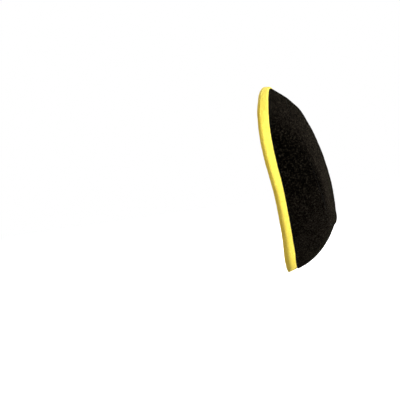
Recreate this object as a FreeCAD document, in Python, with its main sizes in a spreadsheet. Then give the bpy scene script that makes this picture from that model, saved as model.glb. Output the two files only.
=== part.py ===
import FreeCAD
import Part

import math
import os

import Sketcher
from FreeCAD import Placement, Rotation, Vector

# Foam air filter of an off-road motorcycle, on the moulded cage that carries it in the airbox.
#
# Axes: the filter seals against the airbox around the YZ plane. +X is the dirty side, where the dome
# points, +Z runs along the filter's length to its wide, shallow end, and Y is its width. The origin is the
# centre of the sealing opening. Units are millimetres.
#
# The outline of every section is an egg of four tangent arcs: a large arc at the wide end, a small arc at
# the narrow tip and two long side arcs. The walls are lofts of such eggs, and an inset makes the parallel
# egg of the next layer in. The face is a crowned surface, and the sealing surface is a shallow saddle, which
# curves along Z only.

SHEET = "Dimensions"

# The sections of the dome's outer wall, from the sealing side to above the face: the level along X, the two
# ends along Z and the radii of the end arcs.
SECTIONS = {
    "base": (5.0, 133.0, -130.5, 79.0, 31.0),
    "foot": (22.0, 121.2, -124.9, 75.5, 31.0),
    "waist": (40.0, 104.0, -114.5, 69.5, 33.0),
    "shoulder": (56.0, 83.5, -101.0, 62.0, 35.0),
    "brow": (70.0, 62.0, -80.5, 53.5, 34.0),
    "crown": (84.0, 39.5, -54.0, 43.5, 30.0),
}

DIMENSIONS = {
    "side_radius": 270.0,
    "rim_top": 130.0,
    "rim_bottom": -130.5,
    "rim_top_radius": 79.5,
    "rim_tip_radius": 34.5,
    "rim_side_radius": 274.5,
    "rim_width": 20.5,
    "rim_thickness": 15.4,
    "rim_rounding": 5.0,
    # The saddle of the sealing surface: a hump towards the dome between two hollows.
    "hump_height": 7.5,
    "hump_z": -42.0,
    "hump_radius": 400.0,
    "upper_hollow_height": 0.0,
    "upper_hollow_radius": 680.0,
    "lower_hollow_height": -0.6,
    "lower_hollow_radius": 330.0,
    # The crowned face: an arc along Z, turned about an axis behind the filter.
    "face_peak": 77.6,
    "face_peak_z": -47.0,
    "face_radius": 350.0,
    "crown_radius": 312.0,
    # Foam layers.
    "outer_foam": 8.0,
    "outer_wall": 8.5,
    "inner_foam": 7.0,
    "inner_wall": 7.5,
    "bond": 0.8,
    "outer_joint_z": -14.0,
    "rim_joint_y": -6.0,
    "inner_joint_z": 30.0,
    # Cage.
    "cage_gap": 0.6,
    "rib_depth": 6.0,
    "rib_width": 3.2,
    "rib_pitch": 24.0,
    "hoop_pitch": 22.0,
    "flange_recess": 5.0,
    "flange_width": 10.0,
    "flange_thickness": 4.0,
    "skirt_height": 18.0,
    "skirt_thickness": 3.0,
    "web_top_z": -76.0,
    # Locating pins, two at the wide end and one at the narrow tip, and their bosses.
    "upper_pin_y": 27.0,
    "upper_pin_z": 91.0,
    "upper_boss_face": 5.0,
    "lower_pin_y": 0.0,
    "lower_pin_z": -86.0,
    "lower_boss_face": 10.5,
    "boss_radius": 9.0,
    "boss_depth": 12.0,
    "pin_radius": 4.0,
    "pin_length": 9.4,
    "pin_chamfer": 1.0,
    "collar_radius": 6.5,
    "collar_thickness": 1.6,
    "shank_radius": 3.0,
    "shank_length": 9.0,
    # A block that reaches past half of the filter in any direction.
    "block": 150.0,
}

# Where each pin stands, as its Y and Z.
PIN_PLACES = {
    "upper_left": ("upper_pin_y", "upper_pin_z"),
    "upper_right": ("0 - upper_pin_y", "upper_pin_z"),
    "lower": ("lower_pin_y", "lower_pin_z"),
}

# The cage's ribs and hoops, counted in pitches from the origin.
RIBS = range(-2, 3)
HOOPS = range(-4, 6)

# Sketch planes: the first has local x along Y and local y along Z, the second local x along X and local y
# along Z.
ACROSS = Rotation(Vector(0, 1, 0), Vector(0, 0, 1), Vector(1, 0, 0), "ZXY")
ALONG = Rotation(Vector(1, 0, 0), Vector(0, 0, 1), Vector(0, -1, 0), "ZXY")

# Far enough past the filter for every cutting solid.
REACH = 200.0

# Two shapes closer than this touch.
TOUCHING = 0.01

# The profile of the face: how far it reaches along Z, how far it stays clear of the axis that it turns
# about, and the angle that it turns through.
FACE_REACH = 150.0
AXIS_CLEARANCE = 20.0
FACE_TURN = 60.0

doc = FreeCAD.newDocument("AirFilter")


# ---------------------------------------------------------------- dimensions

def section_names(section):
    """The sheet's names for a section's level, two ends and two radii."""
    return [section + "_" + size for size in ("level", "top", "bottom", "top_radius", "tip_radius")]


def make_sheet():
    """Writes every driving dimension into the spreadsheet, under its own name."""
    sheet = doc.addObject("Spreadsheet::Sheet", SHEET)
    rows = dict(DIMENSIONS)
    for section, sizes in SECTIONS.items():
        rows.update(zip(section_names(section), sizes))
    for row, (name, value) in enumerate(rows.items(), start=1):
        sheet.set("A%d" % row, name)
        sheet.set("B%d" % row, str(value))
        sheet.setAlias("B%d" % row, name)
    doc.recompute()
    return rows


SIZE = make_sheet()


def cells(formula):
    """A formula in the sheet's names, as an expression that FreeCAD reads."""
    words = formula.split()
    return " ".join(SHEET + "." + word if word in SIZE else word for word in words)


def value(formula):
    """The number that a formula in the sheet's names gives."""
    total = 0.0
    sign = 1.0
    for word in formula.split():
        if word in "+-":
            sign = 1.0 if word == "+" else -1.0
        else:
            total += sign * (SIZE[word] if word in SIZE else float(word))
            sign = 1.0
    return total


# ---------------------------------------------------------------- sketches

def bind(sketch, constraint, name, formula):
    """Adds a sized constraint and ties its value to the sheet."""
    sketch.addConstraint(constraint)
    sketch.renameConstraint(sketch.ConstraintCount - 1, name)
    sketch.setExpression("Constraints." + name, cells(formula))


def arc(centre, radius, start, end):
    """A sketch arc, anticlockwise from start to end, in radians."""
    return Part.ArcOfCircle(Part.Circle(Vector(centre[0], centre[1], 0), Vector(0, 0, 1), radius), start, end)


def egg_sketch(name, level, top, bottom, top_radius, tip_radius, side_radius, inset="0"):
    """An egg across the filter at a level along X, moved inwards by the inset."""
    r_top = value(top_radius) - value(inset)
    r_tip = value(tip_radius) - value(inset)
    r_side = value(side_radius) - value(inset)
    z_top = value(top) - value(top_radius)
    z_tip = value(bottom) + value(tip_radius)
    span = z_top - z_tip
    # The side arcs' centres lie where circles about the two end arcs' centres cross.
    drop = ((r_side - r_top) ** 2 - (r_side - r_tip) ** 2 + span**2) / (2 * span)
    z_side = z_top - drop
    y_side = math.sqrt((r_side - r_top) ** 2 - drop**2)
    high = math.atan2(z_top - z_side, y_side)
    low = math.atan2(z_tip - z_side, y_side)
    sketch = doc.addObject("Sketcher::SketchObject", name)
    sketch.Placement = Placement(Vector(value(level), 0, 0), ACROSS)
    sketch.setExpression("Placement.Base.x", cells(level))
    sketch.addGeometry(arc((0, z_top), r_top, high, math.pi - high))
    sketch.addGeometry(arc((y_side, z_side), r_side, math.pi - high, math.pi - low))
    sketch.addGeometry(arc((0, z_tip), r_tip, math.pi - low, 2 * math.pi + low))
    sketch.addGeometry(arc((-y_side, z_side), r_side, 2 * math.pi + low, 2 * math.pi + high))
    # Each arc runs into the next, from its end point (2) to the next one's start point (1).
    for here in range(4):
        sketch.addConstraint(Sketcher.Constraint("Tangent", here, 2, (here + 1) % 4, 1))
    for end_arc in (0, 2):
        sketch.addConstraint(Sketcher.Constraint("PointOnObject", end_arc, 3, -2))
    moved = "" if inset == "0" else " - ( " + inset + " )"
    bind(sketch, Sketcher.Constraint("Radius", 0, r_top), "top_arc", "( " + top_radius + " )" + moved)
    bind(sketch, Sketcher.Constraint("Radius", 2, r_tip), "tip_arc", "( " + tip_radius + " )" + moved)
    bind(sketch, Sketcher.Constraint("Radius", 1, r_side), "side_arc", "( " + side_radius + " )" + moved)
    sketch.addConstraint(Sketcher.Constraint("Equal", 1, 3))
    bind(sketch, Sketcher.Constraint("DistanceY", 2, 3, -1, 1, -z_tip), "tip_centre",
         "0 - ( " + bottom + " ) - ( " + tip_radius + " )")
    bind(sketch, Sketcher.Constraint("DistanceY", 2, 3, 0, 3, span), "span",
         "( " + top + " ) - ( " + top_radius + " ) - ( " + bottom + " ) - ( " + tip_radius + " )")
    return sketch


def wall_loft(name, inset="0"):
    """The solid inside the dome's wall, moved inwards by the inset, reaching past the face."""
    loft = doc.addObject("Part::Loft", name)
    loft.Sections = [
        egg_sketch(name + "_" + section, *section_names(section), "side_radius", inset)
        for section in SECTIONS
    ]
    loft.Solid = True
    return loft


def rim_prism(name, inset="0"):
    """The rim's egg, moved inwards by the inset, extruded along X through the whole filter."""
    sketch = egg_sketch(name + "_outline", "0", "rim_top", "rim_bottom", "rim_top_radius",
                        "rim_tip_radius", "rim_side_radius", inset)
    prism = doc.addObject("Part::Extrusion", name)
    prism.Base = sketch
    prism.DirMode = "Custom"
    prism.Dir = Vector(1, 0, 0)
    prism.LengthFwd = REACH
    prism.Symmetric = True
    prism.Solid = True
    return prism


def under_saddle(name, lift="0"):
    """The solid on the airbox's side of the sealing surface, moved by the lift along +X."""
    low, high = -REACH, REACH
    rise = value(lift)
    r_hump = SIZE["hump_radius"]
    arcs = []
    for hollow, side in (("upper_hollow", 1), ("lower_hollow", -1)):
        r_hollow = SIZE[hollow + "_radius"]
        height = SIZE["hump_height"] - SIZE[hollow + "_height"]
        reach = math.sqrt(2 * height * (r_hump + r_hollow) - height**2)
        centre = (SIZE[hollow + "_height"] + r_hollow + rise, SIZE["hump_z"] + side * reach)
        turn = math.asin(reach / (r_hump + r_hollow))
        arcs.append((centre, r_hollow, turn))
    (upper, r_upper, turn_up), (lower, r_lower, turn_down) = arcs
    middle = (SIZE["hump_height"] - r_hump + rise, SIZE["hump_z"])
    past_up = math.asin((high - upper[1]) / r_upper)
    past_down = math.asin((lower[1] - low) / r_lower)
    ends = [(upper[0] - r_upper * math.cos(past_up), high), (lower[0] - r_lower * math.cos(past_down), low)]
    sketch = doc.addObject("Sketcher::SketchObject", name + "_profile")
    sketch.Placement = Placement(Vector(0, 0, 0), ALONG)
    sketch.addGeometry(arc(upper, r_upper, math.pi - past_up, math.pi + turn_up))
    sketch.addGeometry(arc(middle, r_hump, -turn_down, turn_up))
    sketch.addGeometry(arc(lower, r_lower, math.pi - turn_down, math.pi + past_down))
    corners = [ends[0], (-REACH, high), (-REACH, low), ends[1]]
    for here, there in zip(corners, corners[1:]):
        sketch.addGeometry(Part.LineSegment(Vector(*here, 0), Vector(*there, 0)))
    # Arcs 0 to 2 run down the sealing surface, and lines 3 to 5 close the profile behind it.
    sketch.addConstraint(Sketcher.Constraint("Tangent", 0, 2, 1, 2))
    sketch.addConstraint(Sketcher.Constraint("Tangent", 1, 1, 2, 1))
    sketch.addConstraint(Sketcher.Constraint("Coincident", 0, 1, 3, 1))
    sketch.addConstraint(Sketcher.Constraint("Coincident", 3, 2, 4, 1))
    sketch.addConstraint(Sketcher.Constraint("Coincident", 4, 2, 5, 1))
    sketch.addConstraint(Sketcher.Constraint("Coincident", 5, 2, 2, 2))
    sketch.addConstraint(Sketcher.Constraint("Horizontal", 3))
    sketch.addConstraint(Sketcher.Constraint("Vertical", 4))
    sketch.addConstraint(Sketcher.Constraint("Horizontal", 5))
    sketch.addConstraint(Sketcher.Constraint("DistanceX", 4, 1, -1, 1, REACH))
    sketch.addConstraint(Sketcher.Constraint("DistanceY", -1, 1, 4, 1, high))
    sketch.addConstraint(Sketcher.Constraint("DistanceY", 4, 2, -1, 1, -low))
    bind(sketch, Sketcher.Constraint("Radius", 0, r_upper), "upper_arc", "upper_hollow_radius")
    bind(sketch, Sketcher.Constraint("Radius", 1, r_hump), "hump_arc", "hump_radius")
    bind(sketch, Sketcher.Constraint("Radius", 2, r_lower), "lower_arc", "lower_hollow_radius")
    bind(sketch, Sketcher.Constraint("DistanceX", -1, 1, 0, 3, upper[0]), "upper_centre_x",
         "upper_hollow_height + upper_hollow_radius + " + lift)
    bind(sketch, Sketcher.Constraint("DistanceX", 1, 3, -1, 1, -middle[0]), "hump_centre_x",
         "hump_radius - hump_height - ( " + lift + " )")
    bind(sketch, Sketcher.Constraint("DistanceY", 1, 3, -1, 1, -middle[1]), "hump_centre_z", "0 - hump_z")
    bind(sketch, Sketcher.Constraint("DistanceX", -1, 1, 2, 3, lower[0]), "lower_centre_x",
         "lower_hollow_height + lower_hollow_radius + " + lift)
    solid = doc.addObject("Part::Extrusion", name)
    solid.Base = sketch
    solid.DirMode = "Custom"
    solid.Dir = Vector(0, 1, 0)
    solid.LengthFwd = 2 * REACH
    solid.Symmetric = True
    solid.Solid = True
    return solid


def under_face(name, depth="0"):
    """The solid behind the crowned face, at a depth under it."""
    radius = SIZE["face_radius"] - value(depth)
    centre = (SIZE["face_peak"] - SIZE["face_radius"], SIZE["face_peak_z"])
    ends = (FACE_REACH, -FACE_REACH)
    turns = [math.asin((z - centre[1]) / radius) for z in ends]
    back = SIZE["face_peak"] - SIZE["crown_radius"] + AXIS_CLEARANCE
    sketch = doc.addObject("Sketcher::SketchObject", name + "_profile")
    sketch.Placement = Placement(Vector(0, 0, 0), ALONG)
    sketch.addGeometry(arc(centre, radius, turns[1], turns[0]))
    tips = [(centre[0] + radius * math.cos(turn), z) for turn, z in zip(turns, ends)]
    corners = [tips[0], (back, ends[0]), (back, ends[1]), tips[1]]
    for here, there in zip(corners, corners[1:]):
        sketch.addGeometry(Part.LineSegment(Vector(*here, 0), Vector(*there, 0)))
    # Arc 0 is the face, and lines 1 to 3 close the profile behind it.
    sketch.addConstraint(Sketcher.Constraint("Coincident", 0, 2, 1, 1))
    sketch.addConstraint(Sketcher.Constraint("Coincident", 1, 2, 2, 1))
    sketch.addConstraint(Sketcher.Constraint("Coincident", 2, 2, 3, 1))
    sketch.addConstraint(Sketcher.Constraint("Coincident", 3, 2, 0, 1))
    sketch.addConstraint(Sketcher.Constraint("Horizontal", 1))
    sketch.addConstraint(Sketcher.Constraint("Vertical", 2))
    sketch.addConstraint(Sketcher.Constraint("Horizontal", 3))
    sketch.addConstraint(Sketcher.Constraint("DistanceX", 2, 1, -1, 1, -back))
    sketch.addConstraint(Sketcher.Constraint("DistanceY", -1, 1, 2, 1, ends[0]))
    sketch.addConstraint(Sketcher.Constraint("DistanceY", 2, 2, -1, 1, -ends[1]))
    bind(sketch, Sketcher.Constraint("Radius", 0, radius), "face_arc", "face_radius - ( " + depth + " )")
    bind(sketch, Sketcher.Constraint("DistanceX", 0, 3, -1, 1, -centre[0]), "centre_x",
         "face_radius - face_peak")
    bind(sketch, Sketcher.Constraint("DistanceY", 0, 3, -1, 1, -centre[1]), "centre_z", "0 - face_peak_z")
    solid = doc.addObject("Part::Revolution", name)
    solid.Source = sketch
    solid.Axis = Vector(0, 0, 1)
    solid.Base = Vector(SIZE["face_peak"] - SIZE["crown_radius"], 0, 0)
    solid.setExpression("Base.x", cells("face_peak - crown_radius"))
    solid.Angle = FACE_TURN
    solid.Symmetric = True
    solid.Solid = True
    return solid


# ---------------------------------------------------------------- booleans

def cut(name, base, tool):
    result = doc.addObject("Part::Cut", name)
    result.Base = base
    result.Tool = tool
    return result


def common(name, *solids):
    result = doc.addObject("Part::MultiCommon", name)
    result.Shapes = list(solids)
    return result


def fuse(name, *solids):
    result = doc.addObject("Part::MultiFuse", name)
    result.Shapes = list(solids)
    result.Refine = False
    return result


def box(name, sizes, corner):
    """A box whose three sizes and corner are formulas in the sheet's names."""
    solid = doc.addObject("Part::Box", name)
    for side, formula in zip(("Length", "Width", "Height"), sizes):
        solid.setExpression(side, cells(formula))
    for axis, formula in zip("xyz", corner):
        solid.setExpression("Placement.Base." + axis, cells(formula))
    return solid


def cylinder(name, radius, length, start, place):
    """A cylinder along +X from a start level, at a Y and Z; all are formulas in the sheet's names."""
    solid = doc.addObject("Part::Cylinder", name)
    solid.Placement = Placement(Vector(0, 0, 0), Rotation(Vector(0, 1, 0), 90))
    solid.setExpression("Radius", cells(radius))
    solid.setExpression("Height", cells(length))
    for axis, formula in zip("xyz", (start, *place)):
        solid.setExpression("Placement.Base." + axis, cells(formula))
    return solid


PARTS = []


def part(solid, label):
    """Marks an object as a sub-part and names its file."""
    solid.Label = label
    PARTS.append(solid)
    return solid


# ---------------------------------------------------------------- layers

# The nested surfaces that the foam and the cage are cut from, each named after what lies inside it.
cage_edge = "rim_width + cage_gap"
cage_inset = "outer_wall + inner_wall + cage_gap"
cage_depth = "outer_foam + inner_foam + cage_gap"

outer_walls = wall_loft("outer_walls")
inner_walls = wall_loft("inner_walls", "outer_wall")
clean_walls = wall_loft("clean_walls", "outer_wall + inner_wall")
face = under_face("face")
face_middle = under_face("face_middle", "outer_foam")
face_joint = under_face("face_joint", "outer_foam + bond")
face_back = under_face("face_back", "outer_foam + inner_foam")
inner_face_joint = under_face("inner_face_joint", "outer_foam + inner_foam + bond")
sealing_surface = under_saddle("sealing_surface")
rim_back = under_saddle("rim_back", "rim_thickness")
rim_joint = under_saddle("rim_joint", "rim_thickness + bond")
rim_outside = rim_prism("rim_outside")
rim_opening = rim_prism("rim_opening", "rim_width")


# ---------------------------------------------------------------- foam element

def make_face_panels():
    """The coarse outer and the fine inner panel of the crowned face, one on the other."""
    outer = cut("outer_face_panel", common("outer_face", outer_walls, face), face_middle)
    whole_inner = cut("whole_inner_panel", common("inner_face", inner_walls, face_middle), face_back)
    inner = cut("inner_face_panel", whole_inner, rim_joint)
    part(outer, "outer_face_panel")
    part(inner, "inner_face_panel")


def make_side_band(layer, walls, hollow, roof, panel_back, joint_z):
    """A layer's side wall with its bonds: one under the face panel and one where the strip's ends meet."""
    ring = cut(layer + "_ring", walls, hollow)
    standing = cut(layer + "_standing_ring", ring, rim_joint)
    under_panel = common(layer + "_whole_band", standing, roof)
    slab = box(layer + "_slab", ("block", "block", "bond"), ("0", "0", joint_z + " - bond / 2"))
    part(cut(layer + "_band", under_panel, slab), layer + "_side_band")
    part(common(layer + "_end_bond", under_panel, slab), layer + "_band_joint_bond")
    whole_seam = cut(layer + "_whole_seam", common(layer + "_seam_ring", ring, panel_back), roof)
    part(cut(layer + "_seam", whole_seam, rim_joint), layer + "_face_seam_bond")


def rounded_outside(name, ring):
    """The rim's ring with its outer edge rounded where it meets the sealing surface."""
    doc.recompute()
    edges = []
    for number, edge in enumerate(ring.Shape.Edges, start=1):
        middle = Part.Vertex(edge.valueAt((edge.FirstParameter + edge.LastParameter) / 2))
        seals = middle.distToShape(sealing_surface.Shape)[0] < TOUCHING
        if seals and middle.distToShape(rim_opening.Shape)[0] > TOUCHING:
            edges.append((number, SIZE["rim_rounding"], SIZE["rim_rounding"]))
    result = doc.addObject("Part::Fillet", name)
    result.Base = ring
    result.Edges = edges
    return result


def make_rim():
    """The sealing rim, the joint of its two ends beside the narrow tip and the bond on its back."""
    ring = cut("rim_ring", rim_outside, rim_opening)
    square = cut("square_rim", common("rim_slab", ring, rim_back), sealing_surface)
    thick = rounded_outside("rim_blank", square)
    corner = ("0 - block", "rim_joint_y - bond / 2", "0 - block")
    slab = box("rim_end_slab", ("2 * block", "bond", "block"), corner)
    part(cut("rim", thick, slab), "sealing_rim")
    part(common("rim_end_bond", thick, slab), "rim_joint_bond")
    wall = cut("wall_foot", outer_walls, clean_walls)
    layer = cut("rim_bond_layer", rim_joint, rim_back)
    part(common("rim_bond", wall, layer, ring), "rim_seam_bond")


# ---------------------------------------------------------------- support cage

def make_bosses(envelope):
    """The bosses that the pins are pressed into, kept inside the cage, and the pins' bores."""
    bosses = []
    bores = []
    for place, spot in PIN_PLACES.items():
        start = place.split("_")[0] + "_boss_face"
        boss = cylinder(place + "_boss", "boss_radius", "boss_depth", start, spot)
        bosses.append(common(place + "_boss_in_cage", envelope, boss))
        bores.append(cylinder(place + "_bore", "shank_radius", "shank_length", start, spot))
    return bosses, bores


def make_lattice():
    """Upright plates along both directions of the face, which the ribs and hoops are cut from."""
    plates = []
    for place, number in enumerate(RIBS, start=1):
        corner = ("0", "%d * rib_pitch - rib_width / 2" % number, "0 - block")
        plates.append(box("rib_plate_%d" % place, ("block", "rib_width", "2 * block"), corner))
    for place, number in enumerate(HOOPS, start=1):
        corner = ("0", "0 - block", "%d * hoop_pitch - rib_width / 2" % number)
        plates.append(box("hoop_plate_%d" % place, ("block", "2 * block", "rib_width"), corner))
    return fuse("lattice", *plates)


def make_cage():
    """The moulded cage: a flange inside the rim, a skirt, and a lattice of ribs and hoops under the foam."""
    flange_front = under_saddle("flange_front", "flange_recess")
    flange_back = under_saddle("flange_back", "flange_recess + flange_thickness")
    skirt_back = under_saddle("skirt_back", "flange_recess + skirt_height")
    outline = rim_prism("cage_outline", cage_edge)
    walls = wall_loft("cage_walls", cage_inset)
    block = common("cage_block", walls, under_face("cage_face", cage_depth), outline)
    envelope = cut("cage_envelope", block, flange_front)
    skirt_hollow = common(
        "skirt_hollow",
        wall_loft("skirt_walls", cage_inset + " + skirt_thickness"),
        rim_prism("skirt_outline", cage_edge + " + skirt_thickness"),
    )
    rib_hollow = common(
        "rib_hollow",
        wall_loft("rib_walls", cage_inset + " + rib_depth"),
        under_face("rib_face", cage_depth + " + rib_depth"),
        rim_prism("rib_outline", cage_edge + " + rib_depth"),
    )
    flange_ring = cut("flange_ring", outline, rim_prism("flange_opening", cage_edge + " + flange_width"))
    flange = cut("flange", common("flange_slab", flange_ring, flange_back), flange_front)
    web_corner = ("0 - block / 2", "0 - block / 2", "web_top_z - block")
    web_box = box("web_box", ("block", "block", "block"), web_corner)
    web = cut("web", common("web_slab", outline, flange_back, web_box), flange_front)
    skirt = cut("skirt", common("skirt_slab", envelope, skirt_back), skirt_hollow)
    ribs = common("ribs", cut("rib_shell", envelope, rib_hollow), make_lattice())
    bosses, bores = make_bosses(envelope)
    moulding = fuse("moulding", flange, web, skirt, ribs, *bosses)
    part(cut("cage", moulding, fuse("pin_bores", *bores)), "support_cage")


def make_pins():
    """The steel pins: a chamfered free end, a collar that sits on the boss and a shank pressed into it."""
    pins = []
    for place, spot in PIN_PLACES.items():
        start = place.split("_")[0] + "_boss_face"
        body = cylinder(place + "_pin", "pin_radius", "pin_length - pin_chamfer",
                        start + " - pin_length + pin_chamfer", spot)
        tip = doc.addObject("Part::Cone", place + "_tip")
        tip.Placement = Placement(Vector(0, 0, 0), Rotation(Vector(0, 1, 0), 90))
        tip.setExpression("Radius1", cells("pin_radius - pin_chamfer"))
        tip.setExpression("Radius2", cells("pin_radius"))
        tip.setExpression("Height", cells("pin_chamfer"))
        for axis, formula in zip("xyz", (start + " - pin_length", *spot)):
            tip.setExpression("Placement.Base." + axis, cells(formula))
        collar = cylinder(place + "_collar", "collar_radius", "collar_thickness",
                          start + " - collar_thickness", spot)
        shank = cylinder(place + "_shank", "shank_radius", "shank_length", start, spot)
        pins.append(fuse(place + "_whole_pin", body, tip, collar, shank))
    group = doc.addObject("Part::Compound", "pins")
    group.Links = pins
    part(group, "locating_pins")


make_face_panels()
make_side_band("outer", outer_walls, inner_walls, face_joint, face_middle, "outer_joint_z")
make_side_band("inner", inner_walls, clean_walls, inner_face_joint, face_back, "inner_joint_z")
make_rim()
make_cage()
make_pins()


# ---------------------------------------------------------------- check and export

def check_model():
    """Stops on a failed object, or on a sub-part with no sound shape or no solid."""
    for thing in doc.Objects:
        faults = [state for state in thing.State if state in ("Invalid", "Error")]
        if faults:
            raise RuntimeError("%s is %s" % (thing.Name, faults))
    for solid in PARTS:
        if solid.Shape.isNull() or not solid.Shape.isValid():
            raise RuntimeError("%s has no sound shape" % solid.Label)
        if not solid.Shape.Solids:
            raise RuntimeError("%s has no solid" % solid.Label)


def export_parts():
    """Writes each sub-part to its own STEP file and prints its size."""
    os.makedirs("parts", exist_ok=True)
    for solid in PARTS:
        solid.Shape.exportStep("parts/" + solid.Label + ".step")
        span = solid.Shape.BoundBox
        print("%-22s solids %d  volume %9.0f  x %7.1f..%6.1f  y %6.1f..%5.1f  z %7.1f..%6.1f" % (
            solid.Label, len(solid.Shape.Solids), solid.Shape.Volume,
            span.XMin, span.XMax, span.YMin, span.YMax, span.ZMin, span.ZMax))


doc.recompute()
check_model()
export_parts()
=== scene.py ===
import math

import bpy
import numpy as np
from mathutils import Matrix, Vector, noise
from mathutils.geometry import delaunay_2d_cdt


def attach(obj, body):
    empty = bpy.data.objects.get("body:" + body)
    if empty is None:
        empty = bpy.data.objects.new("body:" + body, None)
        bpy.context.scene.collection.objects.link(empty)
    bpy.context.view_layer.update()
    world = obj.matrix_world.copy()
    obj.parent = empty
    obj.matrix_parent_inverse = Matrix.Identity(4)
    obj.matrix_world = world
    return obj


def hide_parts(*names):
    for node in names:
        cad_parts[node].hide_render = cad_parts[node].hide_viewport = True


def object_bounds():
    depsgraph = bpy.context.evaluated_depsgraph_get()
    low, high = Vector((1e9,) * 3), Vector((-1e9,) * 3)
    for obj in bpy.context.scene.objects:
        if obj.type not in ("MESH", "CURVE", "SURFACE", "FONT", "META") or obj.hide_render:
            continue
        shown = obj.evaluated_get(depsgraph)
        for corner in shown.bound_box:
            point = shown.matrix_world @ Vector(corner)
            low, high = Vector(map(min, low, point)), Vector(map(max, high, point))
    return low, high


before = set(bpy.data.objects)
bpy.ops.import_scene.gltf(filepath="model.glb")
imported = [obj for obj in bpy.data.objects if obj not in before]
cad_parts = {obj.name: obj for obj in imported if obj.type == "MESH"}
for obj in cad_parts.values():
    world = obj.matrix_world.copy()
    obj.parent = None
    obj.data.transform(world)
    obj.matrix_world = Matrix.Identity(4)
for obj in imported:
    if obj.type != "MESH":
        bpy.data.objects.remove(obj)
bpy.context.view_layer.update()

# The looks of a motorcycle's foam air filter. Every foam piece and every glued seam is modelled here over
# the CAD's plain solids, and the cage and its pins keep the CAD's shape. X runs from the sealing side to
# the face, and Z from the narrow tip to the wide end. Sizes are in millimetres and meshes are made in
# them; new_piece turns them into metres. The stage, the lights and the camera are in metres.

MM = 0.001


# ---------------------------------------------------------------- the filter's surfaces

# The eggs of the dome's outer wall, from the sealing side to above the face: the level along X, the two
# ends along Z and the radii of the end arcs.
SECTIONS = np.array([
    (5.0, 133.0, -130.5, 79.0, 31.0),
    (22.0, 121.2, -124.9, 75.5, 31.0),
    (40.0, 104.0, -114.5, 69.5, 33.0),
    (56.0, 83.5, -101.0, 62.0, 35.0),
    (70.0, 62.0, -80.5, 53.5, 34.0),
    (84.0, 39.5, -54.0, 43.5, 30.0),
])
SECTION_CURVES = [np.polyfit(SECTIONS[:, 0], SECTIONS[:, column], 4) for column in range(1, 5)]
SIDE_RADIUS = 270.0

RIM_TOP = 130.0
RIM_BOTTOM = -130.5
RIM_TOP_RADIUS = 79.5
RIM_TIP_RADIUS = 34.5
RIM_SIDE_RADIUS = 274.5
RIM_WIDTH = 20.5
RIM_THICKNESS = 15.4

# The rim's back: thinner in its waist, thinner from a height up to its wide end, thicker near its tip.
RIM_WAIST_Z = -40.0
RIM_WAIST_REACH = 45.0
RIM_WAIST_THINNING = 1.6
RIM_THINNING_Z = 85.0
RIM_TOP_THINNING = 3.2
RIM_BULGE_Z = -102.0
RIM_BULGE_REACH = 12.0
RIM_BULGE = 0.8

# The saddle of the sealing surface: a hump towards the dome between two hollows, each given by the level
# of its floor, its radius and its side along Z.
HUMP_HEIGHT = 7.5
HUMP_Z = -42.0
HUMP_RADIUS = 400.0
HUMP_REACH = 300.0
UPPER_HOLLOW = (0.0, 680.0, 1)
LOWER_HOLLOW = (-0.6, 330.0, -1)

# The crowned face, and the levels between which a wall can meet it.
FACE_PEAK = 77.6
FACE_PEAK_Z = -47.0
FACE_RADIUS = 350.0
CROWN_RADIUS = 312.0
EDGE_LEVELS = (20.0, 84.0)
EDGE_HALVINGS = 30

# The layers of foam in the wall and under the face, and the thickness of a glued seam.
OUTER_WALL = 8.5
OUTER_FOAM = 8.0
INNER_WALL = 7.5
INNER_FOAM = 7.0
BOND = 0.8

# The roll of the outer foam over the filter's long sides: its depth, where it starts below the face's
# edge, and where it stops growing, as a share of the height from there to the edge.
SHOULDER_ROLL = 3.6
SHOULDER_HEIGHT = 24.0
SHOULDER_LIMIT = 1.3

# Along the filter's outline, angles run from +Y (0) through +Z (a quarter turn) to -Y (half a turn).
TIP_ANGLE = -math.pi / 2
TOP_ANGLE = math.pi / 2
TIP_SPREAD = 0.55
FINE_STEPS = 20001


def egg(sizes, side_radius, inset, angles):
    """Points of an egg of four tangent arcs, moved inwards, by the angle of its outward normal."""
    top, bottom, r_top, r_tip = sizes
    z_top = top - r_top
    z_tip = bottom + r_tip
    span = z_top - z_tip
    drop = ((side_radius - r_top) ** 2 - (side_radius - r_tip) ** 2 + span**2) / (2 * span)
    z_side = z_top - drop
    y_side = np.sqrt((side_radius - r_top) ** 2 - drop**2)
    high = np.arctan2(z_top - z_side, y_side)
    low = np.arctan2(z_tip - z_side, y_side)
    side = np.sign(np.cos(angles)) + (np.cos(angles) == 0)
    lean = np.arcsin(np.clip(np.sin(angles), -1, 1))
    radius = np.where(lean > high, r_top, np.where(lean < low, r_tip, side_radius)) - inset
    centre_y = np.where((lean > high) | (lean < low), 0.0, -y_side)
    centre_z = np.where(lean > high, z_top, np.where(lean < low, z_tip, z_side))
    y = side * (centre_y + radius * np.cos(lean))
    z = centre_z + radius * np.sin(lean)
    return y, z


def wall_point(x, inset, angles):
    """The dome's wall at a level along X, moved inwards."""
    sizes = [np.polyval(curve, x) for curve in SECTION_CURVES]
    return egg(sizes, SIDE_RADIUS, inset, angles)


def rim_point(inset, angles):
    """The rim's outline, moved inwards."""
    sizes = (RIM_TOP, RIM_BOTTOM, RIM_TOP_RADIUS, RIM_TIP_RADIUS)
    return egg(sizes, RIM_SIDE_RADIUS, inset, angles)


def face_level(y, z, depth=0.0):
    """The level of the crowned face at a depth under it."""
    radius = FACE_RADIUS - depth
    axis = FACE_PEAK - CROWN_RADIUS
    reach = FACE_PEAK - FACE_RADIUS - axis + np.sqrt(radius**2 - (z - FACE_PEAK_Z) ** 2)
    return axis + np.sqrt(reach**2 - y**2)


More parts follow.
